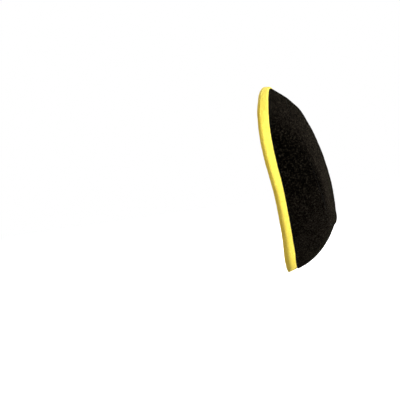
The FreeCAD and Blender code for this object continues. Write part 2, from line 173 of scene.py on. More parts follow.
def saddle_level(z):
    """The level of the sealing surface: the hump's arc, and past its tangent points the hollows' arcs."""
    from_hump = np.clip(z - HUMP_Z, -HUMP_REACH, HUMP_REACH)
    level = HUMP_HEIGHT - HUMP_RADIUS + np.sqrt(HUMP_RADIUS**2 - from_hump**2)
    for height, radius, side in (UPPER_HOLLOW, LOWER_HOLLOW):
        rise = HUMP_HEIGHT - height
        reach = math.sqrt(2 * rise * (HUMP_RADIUS + radius) - rise**2)
        tangent_z = HUMP_Z + side * reach * HUMP_RADIUS / (HUMP_RADIUS + radius)
        hollow = height + radius - np.sqrt(radius**2 - (z - HUMP_Z - side * reach) ** 2)
        level = np.where(side * (z - tangent_z) > 0, hollow, level)
    return level


def rim_back(z):
    """The level of the rim's back, with its thinner waist, its thinner wide end and its bulge."""
    waist = RIM_WAIST_THINNING * np.exp(-(((z - RIM_WAIST_Z) / RIM_WAIST_REACH) ** 2))
    top = RIM_TOP_THINNING * np.clip((z - RIM_THINNING_Z) / (RIM_TOP - RIM_THINNING_Z), 0, 1) ** 2
    bulge = RIM_BULGE * np.exp(-(((z - RIM_BULGE_Z) / RIM_BULGE_REACH) ** 2))
    return saddle_level(z) + RIM_THICKNESS - waist - top + bulge


def face_edge(inset, depth, angles):
    """The level where a wall, moved inwards, meets the face at a depth under it."""
    low = np.full_like(angles, EDGE_LEVELS[0])
    high = np.full_like(angles, EDGE_LEVELS[1])
    for _ in range(EDGE_HALVINGS):
        middle = (low + high) / 2
        y, z = wall_point(middle, inset, angles)
        under = face_level(y, z, depth) > middle
        low = np.where(under, middle, low)
        high = np.where(under, high, middle)
    return (low + high) / 2


def even_angles(count, points, start=TIP_ANGLE, gap=0.0):
    """Normal angles at equal distances round an outline: the whole way round from the start, or, where a
    strip's ends meet in a gap about the start, from one end to the other."""
    fine = start + np.linspace(0, 2 * math.pi, FINE_STEPS)
    y, z = points(fine)
    run = np.concatenate([[0], np.cumsum(np.hypot(np.diff(y), np.diff(z)))])
    if gap:
        return np.interp(np.linspace(gap / 2, run[-1] - gap / 2, count), run, fine)
    return np.interp(np.arange(count) * run[-1] / count, run, fine)


def gap_angles(strip_angles, count=5):
    """Normal angles across the gap between the two ends of a strip that runs round the outline."""
    return np.linspace(strip_angles[-1] - 2 * math.pi, strip_angles[0], count)


def angle_at(height, points):
    """The normal angle on the +Y side where an outline has a height along Z."""
    fine = np.linspace(TIP_ANGLE, TOP_ANGLE, FINE_STEPS)
    return float(np.interp(height, points(fine)[1], fine))


def near(middle, angles, spread):
    """A bell curve: one where the outline's normal has a middle angle, and zero far from there."""
    turn = (angles - middle + math.pi) % (2 * math.pi) - math.pi
    return np.exp(-((turn / spread) ** 2))


def near_tip(angles, spread=TIP_SPREAD):
    """A bell curve: one at the narrow tip, and zero far from it."""
    return near(TIP_ANGLE, angles, spread)


def shoulder(x, inset, angles):
    """How far the outer foam rolls inwards below the face's edge along the filter's two long sides."""
    rise = np.clip((x - face_edge(0.0, 0.0, angles)) / SHOULDER_HEIGHT + 1, 0, SHOULDER_LIMIT)
    share = np.clip(1 - inset / OUTER_WALL, 0, 1)
    return SHOULDER_ROLL * np.cos(angles) ** 2 * rise**2 * share


def stacked(x, y, z):
    """Points from three arrays that broadcast together."""
    return np.stack(np.broadcast_arrays(x, y, z), axis=-1)


# ---------------------------------------------------------------- building meshes

# A disc's field of points keeps this far from its edge, as a share of the points' spacing.
EDGE_CLEARANCE = 0.6
WELD_DISTANCE = 1e-7
LEAST_LENGTH = 1e-6

# The bends of hand-cut foam, and its pores: how far a pore reaches, and the level that stays in place.
SWAY = 0.45
SWAY_SIZE = 50.0
PORE_REACH = 0.8
PORE_LEVEL = 0.7

# Blender seeds its vector noise, which bends the foam, from the clock. A set seed gives every run the same
# bends.
SWAY_SEED = 1
noise.seed_set(SWAY_SEED)


def rounded_path(corners, cuts, runs, closed=True, turn_steps=5):
    """Samples a path through corners that are arrays of points, one path for each point in the arrays.
    Each corner is rounded from a cut before it to a cut after it, given as a pair where the two differ, and
    each straight run is divided."""
    count = len(corners)
    starts, ends, turns = [], [], []
    for index, corner in enumerate(corners):
        if not closed and index in (0, count - 1):
            starts.append(corner)
            ends.append(corner)
            turns.append([corner])
            continue
        before = corners[index - 1] - corner
        after = corners[(index + 1) % count] - corner
        pair = cuts[index] if isinstance(cuts[index], tuple) else (cuts[index], cuts[index])
        cut_before, cut_after = [np.asarray(cut)[..., None] for cut in pair]
        start = corner + before * cut_before / np.linalg.norm(before, axis=-1, keepdims=True)
        end = corner + after * cut_after / np.linalg.norm(after, axis=-1, keepdims=True)
        starts.append(start)
        ends.append(end)
        steps = np.linspace(0, 1, turn_steps)
        turns.append([(1 - t) ** 2 * start + 2 * t * (1 - t) * corner + t**2 * end for t in steps])
    path = []
    for index in range(count):
        path.extend(turns[index])
        if closed or index < count - 1:
            there = starts[(index + 1) % count]
            pieces = runs[index]
            path.extend(ends[index] + (there - ends[index]) * k / pieces for k in range(1, pieces))
    return np.stack(path)


def grid_faces(rows, columns, closed_rows=True, closed_columns=True):
    """Quads of a grid of points that is stored row by row."""
    row = np.arange(rows if closed_rows else rows - 1)
    column = np.arange(columns if closed_columns else columns - 1)
    row, column = [grid.ravel() for grid in np.meshgrid(row, column, indexing="ij")]
    next_row = (row + 1) % rows
    next_column = (column + 1) % columns
    quads = np.stack([
        row * columns + column,
        row * columns + next_column,
        next_row * columns + next_column,
        next_row * columns + column,
    ], axis=1)
    return quads.tolist()


def ring_solid(paths, closed):
    """A solid from closed section paths, one for each angle: a closed ring, or a strip with capped ends."""
    rows, columns = paths.shape[:2]
    faces = grid_faces(rows, columns, closed_columns=closed)
    if not closed:
        faces.append([row * columns for row in range(rows)])
        faces.append([row * columns + columns - 1 for row in reversed(range(rows))])
    return paths.reshape(-1, 3), faces


def disc(edge, spacing, depth, first, edge_first, flip=False):
    """Fills a closed edge of points with an even field of points on the face's surface, in rows as in a
    grid of equal triangles."""
    outline = edge[:, 1:]
    low, high = outline.min(axis=0), outline.max(axis=0)
    rows = np.arange(low[1], high[1], spacing * math.sqrt(0.75))
    across = np.arange(low[0], high[0], spacing)
    y, z = np.meshgrid(across, rows)
    y = y + spacing / 2 * (np.arange(len(rows)) % 2)[:, None]
    field = np.stack([y.ravel(), z.ravel()], axis=1)
    # The outline is symmetric about Y = 0, so its half-width at each height says what lies inside.
    right = outline[outline[:, 0] >= 0]
    right = right[np.argsort(right[:, 1])]
    half_width = np.interp(field[:, 1], right[:, 1], right[:, 0])
    clear = EDGE_CLEARANCE * spacing
    field = field[np.abs(field[:, 0]) < half_width - clear]
    field = field[(field[:, 1] > low[1] + clear) & (field[:, 1] < high[1] - clear)]
    flat = [Vector(point) for point in np.concatenate([outline, field]).tolist()]
    count = len(outline)
    border = [(index, (index + 1) % count) for index in range(count)]
    triangles = delaunay_2d_cdt(flat, border, [], 1, WELD_DISTANCE)[2]
    numbers = np.concatenate([edge_first + np.arange(count), first + np.arange(len(field))])
    triangles = numbers[np.array(triangles)]
    points = stacked(face_level(field[:, 0], field[:, 1], depth), field[:, 0], field[:, 1])
    return points, (triangles[:, ::-1] if flip else triangles).tolist()


def sway(points, amount):
    """Moves points as soft, hand-cut foam bends: the same way in every piece, so that seams stay shut."""
    moves = [noise.noise_vector(point) for point in (points / SWAY_SIZE).tolist()]
    return points + amount * np.array(moves)


def new_piece(name, points, faces, material):
    """A mesh object from points in millimetres, which rides on the foam element."""
    mesh = bpy.data.meshes.new(name)
    mesh.from_pydata((points * MM).tolist(), [], faces)
    mesh.update()
    mesh.materials.append(material)
    mesh.shade_smooth()
    piece = bpy.data.objects.new(name, mesh)
    bpy.context.collection.objects.link(piece)
    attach(piece, "element")
    return piece


def ring_piece(name, paths, material, swayed, closed=False):
    """A ring or a strip as a piece, bent by an amount of sway."""
    points, faces = ring_solid(paths, closed)
    return new_piece(name, sway(points, swayed), faces, material)


def vertex_arrays(piece):
    """A piece's points and normals, the points in millimetres."""
    count = len(piece.data.vertices)
    points = np.empty(count * 3)
    normals = np.empty(count * 3)
    piece.data.vertices.foreach_get("co", points)
    piece.data.vertices.foreach_get("normal", normals)
    return points.reshape(-1, 3) / MM, normals.reshape(-1, 3)


def roughen(piece, layers):
    """Pushes the points along their normals by layers of noise: each is a kind, a size and a depth."""
    points, normals = vertex_arrays(piece)
    height = np.zeros(len(points))
    for kind, size, depth in layers:
        scaled = (points / size).tolist()
        if kind == "pores":
            from_pore = np.array([noise.voronoi(point)[0][0] for point in scaled])
            height += depth * (np.clip(from_pore, 0, PORE_REACH) / PORE_REACH - PORE_LEVEL)
        else:
            height += depth * np.array([noise.noise(point) for point in scaled])
    moved = (points + normals * height[:, None]) * MM
    piece.data.vertices.foreach_set("co", moved.ravel())
    piece.data.update()


# ---------------------------------------------------------------- materials

def new_material(name):
    """A material with nodes, its tree and its shader."""
    material = bpy.data.materials.new(name)
    material.use_nodes = True
    tree = material.node_tree
    return material, tree, tree.nodes["Principled BSDF"]


def set_inputs(tree, node, inputs):
    """Sets a node's inputs to values, or links them to the outputs of other nodes."""
    for socket, what in inputs.items():
        if isinstance(what, bpy.types.NodeSocket):
            tree.links.new(what, node.inputs[socket])
        else:
            node.inputs[socket].default_value = what


def add(tree, kind, inputs=(), **settings):
    """Adds a node, sets its properties, and sets or links its inputs."""
    node = tree.nodes.new(kind)
    for setting, what in settings.items():
        setattr(node, setting, what)
    set_inputs(tree, node, dict(inputs))
    return node


def object_place(tree):
    """The place of a point in its object."""
    return add(tree, "ShaderNodeTexCoord").outputs["Object"]


def stretched(tree, place, scales):
    """A place with each of its three axes scaled."""
    return add(tree, "ShaderNodeMapping", {"Vector": place, "Scale": scales}).outputs["Vector"]


def clouds(tree, place, scale, detail, roughness=0.5):
    """The level of a noise; the scale is the number of its clouds in a metre."""
    inputs = {"Vector": place, "Scale": scale, "Detail": detail, "Roughness": roughness}
    return add(tree, "ShaderNodeTexNoise", inputs).outputs["Fac"]


def ramp(tree, factor, stops):
    """A colour ramp over a factor; a stop is a place and a colour."""
    node = add(tree, "ShaderNodeValToRGB", {"Fac": factor})
    elements = node.color_ramp.elements
    while len(elements) < len(stops):
        elements.new(0.5)
    for element, (place, colour) in zip(elements, stops):
        element.position = place
        element.color = (*colour, 1.0)
    return node.outputs["Color"]


def grey_ramp(tree, factor, stops):
    """A ramp of greys over a factor; a stop is a place and a level."""
    return ramp(tree, factor, [(place, (level, level, level)) for place, level in stops])


def mix_colours(tree, factor, first, second, blend="MIX"):
    """The mix of two colours, of which each is a value or an output."""
    inputs = {"Factor": factor, "A": first, "B": second}
    return add(tree, "ShaderNodeMix", inputs, data_type="RGBA", blend_type=blend).outputs[2]


def net(tree, place, scale, stops):
    """The strands between cells, as a ramp of greys over the distance from the cells' edges."""
    cells = add(tree, "ShaderNodeTexVoronoi", {"Vector": place, "Scale": scale}, feature="DISTANCE_TO_EDGE")
    return grey_ramp(tree, cells.outputs["Distance"], stops)


def bumped(tree, height, strength, distance):
    """A normal that follows a height, of which the distance is in metres."""
    inputs = {"Height": height, "Strength": strength, "Distance": distance}
    return add(tree, "ShaderNodeBump", inputs).outputs["Normal"]


def foam_material(name, cell, pore, strand, dip, stain, patch, bump, roughness, sheen, gloss):
    """Open-cell foam: cells with dark pores between lighter strands, in clusters of which the darker ones
    are dimmed by the dip, stained in patches. The cell and the patch are sizes in millimetres."""
    material, tree, shader = new_material(name)
    place = object_place(tree)
    cells_in_metre = 1 / (cell * MM)
    # A drift of the place bends the cells' straight edges.
    drift = add(tree, "ShaderNodeTexNoise", {"Vector": place, "Scale": 0.35 * cells_in_metre, "Detail": 2.0})
    bent_place = add(tree, "ShaderNodeMix", {"Factor": 0.0006, "A": place, "B": drift.outputs["Color"]},
                     data_type="VECTOR").outputs[1]
    web = net(tree, bent_place, cells_in_metre, [(0.0, 1.0), (0.06, 0.85), (0.20, 0.0)])
    fine_web = net(tree, bent_place, 2.1 * cells_in_metre, [(0.0, 0.6), (0.08, 0.35), (0.18, 0.0)])
    strands = mix_colours(tree, 1.0, web, fine_web, "LIGHTEN")
    colour = mix_colours(tree, strands, (*pore, 1), (*strand, 1))
    clusters = clouds(tree, place, 0.66 * cells_in_metre, 3.0)
    dimmed = grey_ramp(tree, clusters, [(0.50, dip), (0.72, 1.0)])
    colour = mix_colours(tree, 1.0, colour, dimmed, "MULTIPLY")
    stains = clouds(tree, place, 1 / (patch * MM), 4.0, 0.6)
    stained = ramp(tree, stains, [(0.38, stain), (0.62, (1.0, 1.0, 1.0))])
    set_inputs(tree, shader, {
        "Base Color": mix_colours(tree, 1.0, colour, stained, "MULTIPLY"),
        "Roughness": grey_ramp(tree, clusters, [(0.3, roughness - 0.08), (0.7, roughness + 0.06)]),
        "Normal": bumped(tree, strands, bump, 0.45 * cell * MM),
        "Sheen Weight": sheen,
        "Sheen Roughness": 0.3,
        "Sheen Tint": (1.0, 0.84, 0.62, 1.0),
        "Specular IOR Level": gloss,
    })
    return material


def glue_material(name, colour, roughness):
    """Cured adhesive: smooth and a little lumpy, with dust in patches."""
    material, tree, shader = new_material(name)
    place = object_place(tree)
    lumps = clouds(tree, place, 650.0, 3.0)
    dust = clouds(tree, place, 90.0, 5.0)
    dusty = tuple(2.2 * channel for channel in colour)
    set_inputs(tree, shader, {
        "Base Color": ramp(tree, dust, [(0.35, colour), (0.75, dusty)]),
        "Roughness": grey_ramp(tree, lumps, [(0.3, roughness), (0.7, roughness + 0.25)]),
        "Normal": bumped(tree, lumps, 0.5, 0.0004),
        "Specular IOR Level": 0.1,
    })
    return material


def cage_material(name):
    """Moulded black nylon: a fine spark-eroded grain, faint flow marks and light scuffs."""
    material, tree, shader = new_material(name)
    place = object_place(tree)
    grain = clouds(tree, place, 2600.0, 2.0)
    flow = clouds(tree, stretched(tree, place, (25.0, 140.0, 25.0)), 1.0, 4.0)
    scuffs = clouds(tree, place, 160.0, 8.0, 0.7)
    base = ramp(tree, flow, [(0.3, (0.011, 0.011, 0.012)), (0.7, (0.020, 0.020, 0.022))])
    worn = grey_ramp(tree, scuffs, [(0.60, 0.0), (0.78, 1.0)])
    set_inputs(tree, shader, {
        "Base Color": mix_colours(tree, worn, base, (0.075, 0.075, 0.078, 1)),
        "Roughness": grey_ramp(tree, flow, [(0.3, 0.40), (0.7, 0.55)]),
        "Normal": bumped(tree, grain, 0.25, 0.0002),
    })
    return material


def steel_material(name):
    """Turned and zinc-plated steel: fine rings along X and cloudy plating."""
    material, tree, shader = new_material(name)
    place = object_place(tree)
    rings = clouds(tree, stretched(tree, place, (9000.0, 120.0, 120.0)), 1.0, 3.0)
    plating = clouds(tree, place, 400.0, 6.0)
    set_inputs(tree, shader, {
        "Base Color": ramp(tree, plating, [(0.3, (0.50, 0.50, 0.49)), (0.7, (0.70, 0.70, 0.68))]),
        "Roughness": grey_ramp(tree, plating, [(0.3, 0.38), (0.7, 0.24)]),
        "Normal": bumped(tree, rings, 0.3, 0.0001),
        "Metallic": 1.0,
    })
    return material


black_foam = foam_material("coarse_black_foam", cell=1.6, pore=(0.0004, 0.0004, 0.0004),
                           strand=(0.026, 0.022, 0.016), dip=0.02, stain=(0.72, 0.72, 0.72), patch=30.0,
                           bump=1.0, roughness=0.85, sheen=0.027, gloss=0.0)
yellow_foam = foam_material("fine_yellow_foam", cell=0.9, pore=(0.40, 0.27, 0.015),
                            strand=(0.90, 0.74, 0.075), dip=0.85, stain=(0.90, 0.86, 0.80), patch=40.0,
                            bump=0.7, roughness=0.88, sheen=0.03, gloss=0.2)
rim_foam = foam_material("rim_yellow_foam", cell=0.7, pore=(0.66, 0.46, 0.012),
                         strand=(0.98, 0.86, 0.150), dip=0.93, stain=(0.94, 0.91, 0.86), patch=35.0,
                         bump=0.45, roughness=0.85, sheen=0.03, gloss=0.2)
glue = glue_material("seam_glue", (0.0015, 0.0015, 0.0015), 0.6)
yellow_glue = glue_material("yellow_seam_glue", (0.25, 0.17, 0.02), 0.45)
cage_plastic = cage_material("cage_nylon")
pin_steel = steel_material("pin_zinc_steel")


# ---------------------------------------------------------------- the foam element

# Layers of noise for roughen: the kind, the size and the depth of each.
COARSE_NOISE = [("waves", 22.0, 0.5), ("waves", 5.0, 0.18), ("pores", 1.15, 0.32)]
FINE_NOISE = [("waves", 12.0, 0.18), ("pores", 1.3, 0.22)]
RIM_NOISE = [("waves", 14.0, 0.35), ("waves", 4.0, 0.16), ("pores", 1.0, 0.16)]

# The gap that keeps an outer and an inner piece apart.
SKIN = 0.05

# The first guess of a level on the rim's back, and how often it is improved.
BACK_GUESS = 16.0
GUESS_STEPS = 3

# The levels of the walls round which points are spaced evenly, and the number of those points.
OUTER_FACE_X, OUTER_FACE_POINTS = 60.0, 800
INNER_FACE_X, INNER_FACE_POINTS = 50.0, 620
BAND_X, OUTER_BAND_POINTS, INNER_BAND_POINTS = 20.0, 880, 620
RIM_POINTS = 1000
SEAM_POINTS = 520


def outward(angles):
    """The outline's outward normals."""
    return stacked(0.0, np.cos(angles), np.sin(angles))


def on_wall(inset, x, angles):
    """A point in the dome's wall, as an array of points."""
    y, z = wall_point(x, inset + shoulder(x, inset, angles), angles)
    return stacked(x, y, z)


def rim_back_level(inset, angles, lift=0.0):
    """The level of the bond on the rim's back at a point of the wall, found by steps from a guess."""
    x = np.full_like(angles, BACK_GUESS)
    for _ in range(GUESS_STEPS):
        x = rim_back(wall_point(x, inset, angles)[1]) + BOND + lift
    return x


def finish_foam(node):
    """Hides the CAD's plain solid of a foam piece, which the mesh made here stands in for."""
    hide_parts(node)


def finish_glue(node):
    """Hides the CAD's plain solid of a glued seam, which the mesh made here stands in for."""
    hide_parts(node)


# ---------------------------------------------------------------- the two face panels

# The outer seam's depth under the face, and the rounding over the face's edge: along the sides, at the
# narrow tip and at the wide end. A rounding takes at most a share of the skirt above the seam.
SEAM_DEPTH = 5.5
TIP_SEAM_DEPTH = 1.8
FACE_ROUNDING = 13.0
TIP_ROUNDING = 1.6
TOP_ROUNDING = 3.0
TOP_SPREAD = 0.6
ROUNDING_LIMIT = 0.85

# The lip at the tip: how far it stands out and up, the shares of that at the seam and at the edge, and how
# far inwards of the wall the panel has its crest and ends its skirt.
TIP_OVERHANG = 1.4
TIP_RISE = 2.0
SEAM_OVERHANG_SHARE = 0.5
EDGE_RISE_SHARE = 0.3
CREST_INSET = 15.5
TIP_CREST_INSET = 4.5
FACE_SKIRT = 21.0

# How far in from the wall a panel's skirt runs before its disc of points begins, and the cuts that round the
# skirt's folds.
PANEL_LAP = 6.0
OUTER_FOLD = 0.5
CREST_FOLD = 1.5
INNER_FOLD = 0.6

# The spacings of the points in a panel's back and top: finer on the side that shows.
OUTER_SPACINGS = (3.0, 0.62)
INNER_SPACINGS = (0.9, 3.5)


def seam_depth(angles):
    """How far under the face the outer seam runs: less at the tip, where the panel is pinched."""
    return SEAM_DEPTH + (TIP_SEAM_DEPTH - SEAM_DEPTH) * near_tip(angles)


def under_face_point(edge_level, inset, depth, angles):
    """A point on the face, or at a depth under it, inwards of the wall's edge."""
    y, z = wall_point(edge_level, inset, angles)
    x = face_level(y, z, depth)
    return stacked(np.maximum(x, rim_back(z) + BOND), y, z)


def panel(name, path, material, spacings, depths, swayed):
    """A face panel: a skirt that runs round its edge, closed by its back and by its top."""
    rows, columns = path.shape[:2]
    skirt = path.reshape(-1, 3)
    faces = grid_faces(rows, columns, closed_rows=False)
    back, back_faces = disc(path[0], spacings[0], depths[0], len(skirt), 0, flip=True)
    back[:, 0] = np.maximum(back[:, 0], rim_back(back[:, 2]) + BOND)
    top, top_faces = disc(path[-1], spacings[1], depths[1], len(skirt) + len(back), (rows - 1) * columns)
    points = sway(np.concatenate([skirt, back, top]), swayed)
    return new_piece(name, points, faces + back_faces + top_faces, material)


def make_outer_face_panel():
    """The coarse panel of the face, rounded over its edge and pinched at its seam, with a lip at the tip."""
    angles = even_angles(OUTER_FACE_POINTS, lambda turn: wall_point(OUTER_FACE_X, 0.0, turn))
    tip = near_tip(angles)
    edge = face_edge(0.0, 0.0, angles)
    seam = face_edge(0.0, seam_depth(angles), angles)
    lip = (TIP_OVERHANG * tip)[:, None] * outward(angles)
    rise = stacked(TIP_RISE * tip, 0.0, 0.0)
    crest = CREST_INSET + (TIP_CREST_INSET - CREST_INSET) * tip
    corners = [
        under_face_point(edge, OUTER_WALL + PANEL_LAP, OUTER_FOAM, angles),
        under_face_point(edge, OUTER_WALL, OUTER_FOAM, angles),
        on_wall(0.0, seam, angles) + SEAM_OVERHANG_SHARE * lip,
        on_wall(0.0, edge, angles) + lip + EDGE_RISE_SHARE * rise,
        under_face_point(edge, crest, 0.0, angles) + rise,
        under_face_point(edge, FACE_SKIRT, 0.0, angles),
    ]
    rounding = FACE_ROUNDING + (TIP_ROUNDING - FACE_ROUNDING) * tip
    rounding = rounding + (TOP_ROUNDING - FACE_ROUNDING) * near(TOP_ANGLE, angles, TOP_SPREAD)
    before = np.minimum(rounding, ROUNDING_LIMIT * np.linalg.norm(corners[3] - corners[2], axis=1))
    fold = OUTER_FOLD + 0 * angles
    cuts = [0, fold, fold, (before, rounding), CREST_FOLD + 0 * angles, 0]
    path = rounded_path(corners, cuts, runs=[4, 8, 5, 5, 8], closed=False, turn_steps=9)
    piece = panel("outer_face_foam", path, black_foam, OUTER_SPACINGS, (OUTER_FOAM, 0.0), SWAY)
    roughen(piece, COARSE_NOISE)
    finish_foam("outer_face_panel")


def make_inner_face_panel():
    """The fine panel behind the face; its back is the clean side, which shows through the cage."""
    angles = even_angles(INNER_FACE_POINTS, lambda turn: wall_point(INNER_FACE_X, OUTER_WALL, turn))
    inset = OUTER_WALL + SKIN
    back_depth = OUTER_FOAM + INNER_FOAM
    top_depth = OUTER_FOAM + SKIN
    upper = face_edge(inset, top_depth, angles)
    lower = face_edge(inset, back_depth, angles)
    corners = [
        under_face_point(lower, inset + INNER_WALL + PANEL_LAP, back_depth, angles),
        under_face_point(lower, inset, back_depth, angles),
        under_face_point(upper, inset, top_depth, angles),
        under_face_point(upper, inset + PANEL_LAP, top_depth, angles),
    ]
    fold = INNER_FOLD + 0 * angles
    path = rounded_path(corners, [0, fold, fold, 0], runs=[8, 6, 3], closed=False)
    piece = panel("inner_face_foam", path, yellow_foam, INNER_SPACINGS, (back_depth, top_depth), 0.0)
    roughen(piece, FINE_NOISE)
    finish_foam("inner_face_panel")


# ---------------------------------------------------------------- the two side bands

# The heights of the joints of the bands' ends, and how far and over what length the foam draws in there.
OUTER_JOINT_Z = -14.0
INNER_JOINT_Z = 30.0
BAND_GROOVE = 0.5
BAND_PINCH_WIDTH = 1.4

# How far the glue in a joint stands back, and the fewest divisions along a side of its section.
JOINT_RECESS = 0.9
JOINT_RUN = 12

# The gap over the outer band, its least height, and the most of that height that a corner's cut takes.
SEAM_GAP = 0.25
LEAST_BAND_HEIGHT = 1.0
CUT_SHARE = 0.45


def band_path(insets, roof, angles, cuts, runs):
    """A side band's closed section between two insets, from over the rim's bond to a roof level."""
    outer, inner = insets
    outer_floor = rim_back_level(outer, angles)
    inner_floor = rim_back_level(inner, angles)
    outer_top = np.maximum(roof(outer, angles), outer_floor + LEAST_BAND_HEIGHT)
    inner_top = np.maximum(roof(inner, angles), inner_floor + LEAST_BAND_HEIGHT)
    corners = [
        stacked(outer, outer_floor, 0.0), stacked(outer, outer_top, 0.0),
        stacked(inner, inner_top, 0.0), stacked(inner, inner_floor, 0.0),
    ]
    longest = CUT_SHARE * np.minimum(outer_top - outer_floor, inner_top - inner_floor)
    path = rounded_path(corners, [np.minimum(cut, longest) for cut in cuts], runs)
    return on_wall(path[..., 0], path[..., 1], angles)


def drawn_in(path, pull):
    """Draws a strip's section in towards its middle, by one distance or by one for each place along it."""
    inward = path.mean(axis=0) - path
    length = np.linalg.norm(inward, axis=-1, keepdims=True)
    return path + inward / np.maximum(length, LEAST_LENGTH) * np.asarray(pull)[..., None]


def pinched(path, groove, width):
    """Draws a strip in near its two ends, as at a glued butt joint."""
    middle = path.mean(axis=0)
    run = np.concatenate([[0], np.cumsum(np.linalg.norm(np.diff(middle, axis=0), axis=1))])
    from_end = np.minimum(run, run[-1] - run)
    return drawn_in(path, groove * np.exp(-((from_end / width) ** 2)))


def outer_roof(inset, angles):
    """The top of the outer band: under the outer seam at the wall, and under the panel's back inside."""
    share = np.clip(inset / OUTER_WALL, 0, 1)
    depth = seam_depth(angles) + SEAM_GAP + (OUTER_FOAM + BOND - SEAM_DEPTH - SEAM_GAP) * share
    return face_edge(inset, depth, angles)


def inner_roof(inset, angles):
    """The top of the inner band: a bond's thickness under the inner panel's back."""
    return face_edge(inset, OUTER_FOAM + INNER_FOAM + BOND, angles)


def make_band(layer, insets, roof, joint_z, foam, joint_glue, count, runs, cuts, noises, swayed):
    """A strip of foam that stands round the wall, and the glue in the joint of its two ends."""
    def outline(turn):
        return wall_point(BAND_X, insets[0], turn)

    angles = even_angles(count, outline, angle_at(joint_z, outline), BOND)
    path = pinched(band_path(insets, roof, angles, cuts, runs), BAND_GROOVE, BAND_PINCH_WIDTH)
    piece = ring_piece(layer + "_band_foam", path, foam, swayed)
    roughen(piece, noises)
    finish_foam(layer + "_side_band")
    path = band_path(insets, roof, gap_angles(angles), cuts, [max(run, JOINT_RUN) for run in runs])
    bond = ring_piece(layer + "_band_joint_glue", drawn_in(path, JOINT_RECESS), joint_glue, swayed)
    finish_glue(layer + "_band_joint_bond")


def make_bands():
    """The coarse strip of the outer wall and the fine strip inside it."""
    make_band("outer", (0.0, OUTER_WALL - SKIN), outer_roof, OUTER_JOINT_Z, black_foam, glue,
              count=OUTER_BAND_POINTS, runs=(60, 6, 8, 5), cuts=(1.2, 0.6, 0.8, 0.8), noises=COARSE_NOISE,
              swayed=SWAY)
    make_band("inner", (OUTER_WALL + SKIN, OUTER_WALL + INNER_WALL), inner_roof, INNER_JOINT_Z, yellow_foam,
              yellow_glue, count=INNER_BAND_POINTS, runs=(8, 5, 36, 5), cuts=(0.8, 0.8, 1.0, 1.5),
              noises=FINE_NOISE, swayed=0.0)


# ---------------------------------------------------------------- the sealing rim

# The bevel of the rim's sealing edge: its height at the wide end and, further down, at full size and at the
# narrow tip; where it starts to grow and is full; how widely it shrinks at the tip; its width and its
# rounding as shares of its height.
BEVEL_WIDE_END = 3.7
BEVEL_FULL = 8.7
BEVEL_TIP = 1.5
BEVEL_START_Z = 97.0
BEVEL_FULL_Z = -103.0
BEVEL_TIP_SPREAD = 0.4
BEVEL_WIDTH_SHARE = 0.8
BEVEL_ROUNDING_SHARE = 0.45

# The cuts that round the rim's other corners, and its divisions; the glue in its joint has small cuts.
BACK_ROUNDING = 1.4
TIP_BACK_ROUNDING = 4.0
INNER_BACK_ROUNDING = 1.6
INNER_FRONT_ROUNDING = 3.0
GLUE_BEVEL_ROUNDING = 1.0
RIM_RUNS = (8, 14, 20, 12, 16)

# How far the rim's outer side leans in, and how far its sealing face and its outer side bulge.
RIM_DRAFT = 0.8
RIM_TIP_DRAFT = 4.5
DRAFT_SPREAD = 0.9
RIM_CROWN = 0.5
RIM_BELLY = 0.5

# The place of the joint of the rim's ends, and how far and over what length the foam draws in there.
RIM_JOINT_Y = -6.0
RIM_GROOVE = 1.3
RIM_PINCH_WIDTH = 1.8


def rim_path(angles, bevel, cuts, grow=0.0):
    """The rim's closed section: bevelled where it seals, sharper at its back, and drafted at the tip."""
    draft = RIM_DRAFT + (RIM_TIP_DRAFT - RIM_DRAFT) * near_tip(angles, DRAFT_SPREAD)
    corners = [
        stacked(BEVEL_WIDTH_SHARE * bevel - grow, -grow, 0.0), stacked(-grow, bevel - grow, 0.0),
        stacked(draft - grow, RIM_THICKNESS + grow, 0.0),
        stacked(RIM_WIDTH + grow, RIM_THICKNESS + grow, 0.0), stacked(RIM_WIDTH + grow, -grow, 0.0),
    ]
    corners = [corner + 0 * angles[:, None] for corner in corners]
    path = rounded_path(corners, [cut + 0 * angles for cut in cuts], RIM_RUNS, turn_steps=9)
    inset, height = path[..., 0], path[..., 1]
    across = np.clip(inset / RIM_WIDTH, 0, 1)
    along = np.clip(height / RIM_THICKNESS, 0, 1)
    crown = RIM_CROWN * 4 * across * (1 - across)
    belly = RIM_BELLY * 4 * along * (1 - along) * (1 - across)
    y, z = rim_point(inset - belly, angles)
    low = saddle_level(z)
    return stacked(low + height * (rim_back(z) - low) / RIM_THICKNESS - crown * (1 - along), y, z)


def make_rim():
    """The sealing rim, and the glue where its two ends meet beside the narrow tip."""
    joint = TIP_ANGLE + math.asin(RIM_JOINT_Y / RIM_TIP_RADIUS)
    angles = even_angles(RIM_POINTS, lambda turn: rim_point(0.0, turn), joint, BOND)
    tip = near_tip(angles, BEVEL_TIP_SPREAD)
    down = np.clip((BEVEL_START_Z - rim_point(0.0, angles)[1]) / (BEVEL_START_Z - BEVEL_FULL_Z), 0, 1)
    bevel = BEVEL_WIDE_END + (BEVEL_FULL - BEVEL_WIDE_END) * down - (BEVEL_FULL - BEVEL_TIP) * tip
    bevel_cut = BEVEL_ROUNDING_SHARE * bevel
    back_cut = BACK_ROUNDING + (TIP_BACK_ROUNDING - BACK_ROUNDING) * tip
    inner_cuts = (INNER_BACK_ROUNDING, INNER_FRONT_ROUNDING)
    path = rim_path(angles, bevel, (bevel_cut, bevel_cut, back_cut, *inner_cuts))
    piece = ring_piece("sealing_rim_foam", pinched(path, RIM_GROOVE, RIM_PINCH_WIDTH), rim_foam, SWAY)
    roughen(piece, RIM_NOISE)
    finish_foam("sealing_rim")
    cuts = (GLUE_BEVEL_ROUNDING, GLUE_BEVEL_ROUNDING, BACK_ROUNDING, *inner_cuts)
    path = rim_path(gap_angles(angles), bevel[0], cuts, -JOINT_RECESS)
    bond = ring_piece("rim_joint_glue", path, yellow_glue, SWAY)
    finish_glue("rim_joint_bond")


